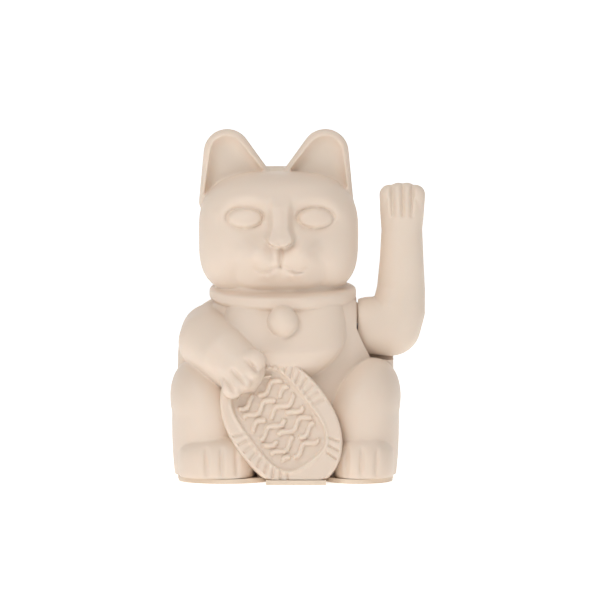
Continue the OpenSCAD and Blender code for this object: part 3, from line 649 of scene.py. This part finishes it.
def tablet():
    """An oval plaque: a sunken field, short ticks on its rim, and rows of raised ripples as its ornament."""
    width, length = TABLET["half"]
    bm = bmesh.new()
    outline = bmesh.ops.create_circle(bm, cap_ends=True, segments=160, radius=1.0)["verts"]
    for v in outline:
        grow = (abs(v.co.x) ** TABLET["power"] + abs(v.co.y) ** TABLET["power"]) ** (-1 / TABLET["power"])
        v.co = Vector((v.co.x * width, v.co.y * length, 0)) * grow * unit
    face = bm.faces[:]
    pushed = bmesh.ops.extrude_face_region(bm, geom=face)["geom"]
    lifted = [g for g in pushed if isinstance(g, bmesh.types.BMVert)]
    bmesh.ops.translate(bm, verts=lifted, vec=(0, 0, TABLET["deep"] * unit))
    bmesh.ops.translate(bm, verts=bm.verts, vec=(0, 0, -TABLET["deep"] * unit))
    bmesh.ops.recalc_face_normals(bm, faces=bm.faces)
    edges = [e for e in bm.edges if e.verts[0].co.z > -unit and e.verts[1].co.z > -unit]
    bmesh.ops.bevel(bm, geom=edges, offset=1.5 * unit, segments=3, affect="EDGES", profile=0.5, material=-1)
    piece = fuse(new_piece("tablet", bm), 0.36, 1)
    skin = Skin(piece)
    u, v, w = skin.co[:, 0], skin.co[:, 1], skin.co[:, 2]
    face = soft_step(w, -1.4, -0.3)
    # the sunken field with its thin raised edge; edge is the distance outside the field's outline
    fu, fv = u + 0.4, v - 1.2
    field = (np.abs(fu / 14.2) ** 3.4 + np.abs(fv / 21.6) ** 3.4) ** (1 / 3.4)
    radius = np.hypot(fu, fv)
    edge = np.where(field < 0.4, -9.0, (field - 1) * radius / np.maximum(field, 0.05))
    relief = -1.4 * (1 - soft_step(edge, -0.6, 0.5))
    relief += 0.6 * np.exp(-(((edge - 0.9) / 0.8) ** 2))
    inside = 1 - soft_step(edge, -3.0, -1.8)
    # rows of ripples, each with one gap
    marks = np.zeros(len(u))
    for k in range(8):
        level = -17.0 + 4.9 * k
        reach = 11.8 * (1 - abs(level / 21.6) ** 3.0) ** 0.5
        phase = 1.6 * k
        spots = np.linspace(-reach, reach, 15)
        line = [(s, level + 1.2 + 1.35 * math.sin(s * 0.62 + phase)) for s in spots]
        gap = 2 + (k * 5) % 9
        for part in (line[:gap + 1], line[gap + 2:]):
            if len(part) > 1:
                far, _ = stroke_distance(fu, fv, part)
                marks = np.maximum(marks, np.sqrt(np.clip(1 - (far / 1.15) ** 2, 0, 1)))
    relief += 1.7 * marks * inside
    # ticks on the rim, in three fans; the middle of the tablet is out of their reach
    power = TABLET["power"]
    outer = (np.abs(u / width) ** power + np.abs(v / length) ** power) ** (1 / power)
    edge_in = np.where(outer < 0.5, 99.0, (1 - outer) * np.hypot(u, v))
    angle = np.degrees(np.arctan2(v / length, u / width))
    band = soft_step(edge_in, 0.9, 1.5) * (1 - soft_step(edge_in, 4.6, 5.3))
    for start, step, count in ((-6.0, 7.6, 11), (166.0, 8.2, 9), (-64.0, 9.0, 3)):
        for k in range(count):
            off = (angle - (start + step * k) + 180) % 360 - 180
            arc = np.radians(off) * np.hypot(u, v)
            relief -= 0.95 * np.exp(-((arc / 0.6) ** 2)) * band
    skin.co[:, 2] += relief * face
    skin.put_back()
    piece.data.transform(tablet_place())
    return combine(piece, "DIFFERENCE", box_solid("ground", (-90, -90, -60), (90, 90, shell_foot)))


# ---------------------------------------------------------------- the two body shells
# screw bosses: x, y, the shell they stand in (-1 front, 1 rear), and how far their rib reaches to its wall
BOSSES = ((-36, -24, -1, 10.0), (34, -25, -1, 11.2), (-36, 16, 1, 7.8), (36, 16, 1, 7.8))
ROOM_RADIUS = 14.6
ROOM_LENGTH = 45


def arm_room(spare=0.0):
    """The flat-walled room beside the body in which the arm swings, or the room with spare all round it."""
    wall = pocket_wall - spare
    bm = bmesh.new()
    made = bmesh.ops.create_circle(bm, cap_ends=True, segments=96,
                                   radius=(ROOM_RADIUS + spare) * unit)["verts"]
    bmesh.ops.rotate(bm, verts=made, matrix=Matrix.Rotation(math.radians(90), 3, "Y"))
    bmesh.ops.translate(bm, verts=made, vec=Vector((wall, pivot.y, pivot.z)) * unit)
    out = bmesh.ops.extrude_face_region(bm, geom=bm.faces[:])["geom"]
    lifted = [g for g in out if isinstance(g, bmesh.types.BMVert)]
    bmesh.ops.translate(bm, verts=lifted, vec=(ROOM_LENGTH * unit, 0, 0))
    bmesh.ops.recalc_face_normals(bm, faces=bm.faces)
    room = new_piece("room", bm)
    bm = bmesh.new()
    made = bmesh.ops.create_cube(bm, size=1.0)["verts"]
    for v in made:
        top = v.co.z > 0
        v.co.x = (wall if v.co.x < 0 else wall + ROOM_LENGTH) * unit
        v.co.y = math.copysign((19.5 if top else ROOM_RADIUS) + spare, v.co.y) * unit
        v.co.z = (pivot.z + (15.0 if top else 0.0)) * unit
    bmesh.ops.recalc_face_normals(bm, faces=bm.faces)
    return combine(room, "UNION", new_piece("room_top", bm))


def copy_of(piece, name):
    twin = piece.copy()
    twin.data = piece.data.copy()
    twin.name = name
    bpy.context.scene.collection.objects.link(twin)
    return twin


SHELL_WALL = 3.2
ARM_WALL = 1.5


def drawn_in(core, wall):
    """Moves a core's skin inwards by the thickness of the wall."""
    inwards = core.modifiers.new("wall", "DISPLACE")
    inwards.strength = -wall * unit
    inwards.mid_level = 0.0
    return finish_modifiers(core)


def hollow(outer):
    """The inside of the cat: the outer form drawn in by the wall. It is not relaxed first, because that would
    fill the creases and push the core out through them."""
    core = fuse(copy_of(outer, "core"), 1.15, 0)
    return fuse(drawn_in(core, SHELL_WALL), 1.3, 2)


def plate_solid():
    """A merged copy of the base plate, to clear the shells around its rim and tray."""
    bm = bmesh.new()
    bm.from_mesh(frame["nodes"]["base_plate"].data)
    bmesh.ops.remove_doubles(bm, verts=bm.verts, dist=1e-6)
    return new_piece("plate_copy", bm)


def body_shells():
    outer = torso()
    combine(outer, "UNION", belly(), collar(), head(), thighs(), feet(), held_arm(), tail(), bell())
    fuse(outer, 0.5, 1, 0.4)
    combine(outer, "UNION", tablet())
    core = hollow(outer)
    combine(core, "DIFFERENCE", arm_room(2.0))
    combine(outer, "DIFFERENCE", arm_room(), core, box_solid("below", (-90, -90, -60), (90, 90, shell_foot)))
    shaft_hole = rod_solid("shaft_hole", (pocket_wall - 20, pivot.y, pivot.z), (1, 0, 0), 2.3, 40)
    combine(outer, "DIFFERENCE", shaft_hole)
    halves = []
    for side, name in ((-1, "front_body_shell"), (1, "rear_body_shell")):
        low = (-90, -90 if side < 0 else 0.1, -5)
        high = (90, -0.1 if side < 0 else 90, 160)
        half = combine(copy_of(outer, name), "INTERSECT", box_solid("half", low, high))
        for x, y, which, reach in BOSSES:
            if which != side:
                continue
            rib = box_solid("rib", (x - 1, y - (reach if side < 0 else 0), shell_foot),
                            (x + 1, y + (0 if side < 0 else reach), shell_foot + 12))
            boss = rod_solid("boss", (x, y, shell_foot), (0, 0, 1), 3.2, 12)
            bore = rod_solid("bore", (x, y, shell_foot - 1), (0, 0, 1), 1.25, 12)
            combine(half, "UNION", rib, boss)
            combine(half, "DIFFERENCE", bore)
        combine(half, "DIFFERENCE", plate_solid())
        halves.append(half)
    discard(outer)
    return halves


# ---------------------------------------------------------------- the moving arm
def arm_shells():
    bm = bmesh.new()
    chain(bm, [(36.0, 0, 64.8, 12.4, 0.9), (45.2, 0, 64.6, 12.9, 0.88)], 5)
    chain(bm, [(45.2, 0, 64.6, 12.9, 0.88), (48.4, 0, 71.0, 11.5, 0.9), (49.5, 0, 80.0, 10.4, 0.88),
               (49.8, -0.4, 92.0, 9.5, 0.9), (49.9, -0.8, 106.0, 8.8, 0.9), (49.9, -1.2, 114.0, 9.4, 0.84),
               (49.8, -1.4, 116.6, 9.4, 0.8)], 5)
    for x, z in ((44.5, 121.2), (48.3, 122.1), (52.0, 122.1), (55.6, 121.2)):
        chain(bm, [(x, -2.2, 111.0, 3.6), (x, -2.6, z, 4.3)], 4)
    arm = fuse(new_piece("arm", bm), 0.45, 4)
    skin = Skin(arm)
    u, v = skin.co[:, 0], skin.co[:, 2]
    front = soft_step(-skin.co[:, 1], 2.0, 5.0)
    for x, lean in ((45.5, 0.2), (50.1, 0.0), (54.3, -0.25)):
        line = [(x, 124.5), (x + lean, 119.0), (x + lean * 2, 112.6)]
        skin.co[:, 1] += ridge(u, v, line, 1.7, 1.6, 0.3) * front
    skin.put_back()
    inner_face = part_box("arm_socket")[0].x / unit - 0.1
    combine(arm, "DIFFERENCE", box_solid("flat", (0, -40, 0), (inner_face, 40, 140)))
    core = fuse(copy_of(arm, "arm_core"), 1.0, 2)
    fuse(drawn_in(core, ARM_WALL), 1.0, 2)
    socket_wall = rod_solid("socket_wall", (inner_face - 2, pivot.y, pivot.z), (1, 0, 0), 4.7, 15.5)
    combine(core, "DIFFERENCE", socket_wall)
    combine(arm, "DIFFERENCE", core)
    combine(arm, "DIFFERENCE",
            rod_solid("socket", (inner_face - 1, pivot.y, pivot.z), (1, 0, 0), 3.56, 12),
            rod_solid("flange", (inner_face - 1, pivot.y, pivot.z), (1, 0, 0), 5.3, 2.0))
    halves = []
    for side, name in ((-1, "front_arm_shell"), (1, "rear_arm_shell")):
        low = (0, -40 if side < 0 else 0.05, 0)
        high = (90, -0.05 if side < 0 else 40, 140)
        halves.append(combine(copy_of(arm, name), "INTERSECT", box_solid("half", low, high)))
    discard(arm)
    return halves


SHARP_EDGE = math.radians(42)


def settle(piece, most):
    """Thins a dense mesh where it is flat, and shades it smooth up to its sharp edges."""
    bm = bmesh.new()
    bm.from_mesh(piece.data)
    bmesh.ops.remove_doubles(bm, verts=bm.verts, dist=1e-7)
    bmesh.ops.triangulate(bm, faces=bm.faces[:])
    count = len(bm.faces)
    bm.to_mesh(piece.data)
    bm.free()
    if count > most:
        thin = piece.modifiers.new("thin", "DECIMATE")
        thin.ratio = most / count
        finish_modifiers(piece)
    piece.data.polygons.foreach_set("use_smooth", [True] * len(piece.data.polygons))
    bm = bmesh.new()
    bm.from_mesh(piece.data)
    for edge in bm.edges:
        edge.smooth = len(edge.link_faces) == 2 and edge.calc_face_angle(0.0) < SHARP_EDGE
    bm.to_mesh(piece.data)
    bm.free()
    print(piece.name, "triangles", count, "->", len(piece.data.polygons))
    return piece


# ---------------------------------------------------------------- materials for every node
def finishes():
    beige = (0.77, 0.64, 0.53)
    return {
        "shell_plastic": moulded_plastic("shell_plastic_beige", beige, 0.5, glow=0.15),
        "base_plastic": moulded_plastic("base_plastic_beige", (0.76, 0.63, 0.50), 0.55, mottle=0.05),
        "white_plastic": moulded_plastic("white_drive_plastic", (0.80, 0.80, 0.76), 0.38),
        "black_plastic": moulded_plastic("black_plastic", (0.025, 0.025, 0.028), 0.35, mottle=0.15),
        "cell_sleeve": cell_sleeve("cell_sleeve"),
        "steel": drawn_metal("zinc_plated_steel", (0.66, 0.66, 0.67), 0.32, (1.0, 1.0, 0.1)),
        "magnet_steel": drawn_metal("nickel_plated_magnet", (0.72, 0.71, 0.69), 0.18),
        "board": printed_board("green_board"),
        "copper": wound_wire("enamelled_copper"),
        "capacitor_sleeve": moulded_plastic("capacitor_sleeve", (0.03, 0.06, 0.22), 0.28, mottle=0.12),
        "resistor_coat": moulded_plastic("resistor_lacquer", (0.58, 0.42, 0.22), 0.3, mottle=0.1),
        "red_insulation": moulded_plastic("red_insulation", (0.5, 0.03, 0.02), 0.42, mottle=0.08),
        "black_insulation": moulded_plastic("black_insulation", (0.02, 0.02, 0.022), 0.42, mottle=0.2),
        "white_insulation": moulded_plastic("white_insulation", (0.75, 0.74, 0.70), 0.42),
    }


def paint(piece, material):
    piece.data.materials.clear()
    piece.data.materials.append(material)


def studio():
    """A white sweep below and behind the cat, and soft light from the upper left."""
    reach = 3.0
    bm = bmesh.new()
    made = bmesh.ops.create_grid(bm, x_segments=1, y_segments=1, size=reach)["verts"]
    bmesh.ops.translate(bm, verts=made, vec=(0, 0, -0.0001))
    far_edge = [e for e in bm.edges if all(v.co.y > reach * 0.9 for v in e.verts)]
    raised = bmesh.ops.extrude_edge_only(bm, edges=far_edge)["geom"]
    bmesh.ops.translate(bm, verts=[g for g in raised if isinstance(g, bmesh.types.BMVert)], vec=(0, 0, reach))
    bmesh.ops.bevel(bm, geom=far_edge, offset=0.8, segments=12, affect="EDGES", profile=0.5, material=-1)
    sweep = new_piece("floor", bm)
    white = Finish("studio_white")
    mottling = white.noise(3.0)
    white.set(Base_Color=white.blend(mottling, (0.93, 0.93, 0.93), (0.95, 0.95, 0.95)), Roughness=0.9,
              Specular_IOR_Level=0.0, Emission_Color=(1.0, 1.0, 1.0), Emission_Strength=0.62)
    paint(sweep, white.material)
    world = bpy.data.worlds.new("studio")
    bpy.context.scene.world = world
    world.use_nodes = True
    world.node_tree.nodes["Background"].inputs["Color"].default_value = (1, 1, 1, 1)
    world.node_tree.nodes["Background"].inputs["Strength"].default_value = 0.30
    softbox("key", (-0.45, -0.8, 0.8), 0.5, 4.6)
    softbox("top", (0.3, -0.2, 1.1), 0.6, 2.4)
    scene = bpy.context.scene
    scene.view_settings.view_transform = "Standard"
    scene.view_settings.look = "None"


def build():
    camera()
    studio()
    looks = finishes()
    slot_of = {s["node"]: s["material_slot"] for s in frame["record"]["subparts"]}
    for name, node in frame["nodes"].items():
        paint(node, looks[slot_of[name]])
    stands_for = {"front_body_shell": "front_shell", "rear_body_shell": "rear_shell",
                  "front_arm_shell": "arm_front_shell", "rear_arm_shell": "arm_rear_shell"}
    most = {"front_body_shell": 190000, "rear_body_shell": 110000,
            "front_arm_shell": 40000, "rear_arm_shell": 30000}
    for piece in body_shells() + arm_shells():
        settle(piece, most[piece.name])
        paint(piece, looks["shell_plastic"])
        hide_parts(stands_for[piece.name])
        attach(piece, "pendulum" if "arm" in piece.name else "body")


build()
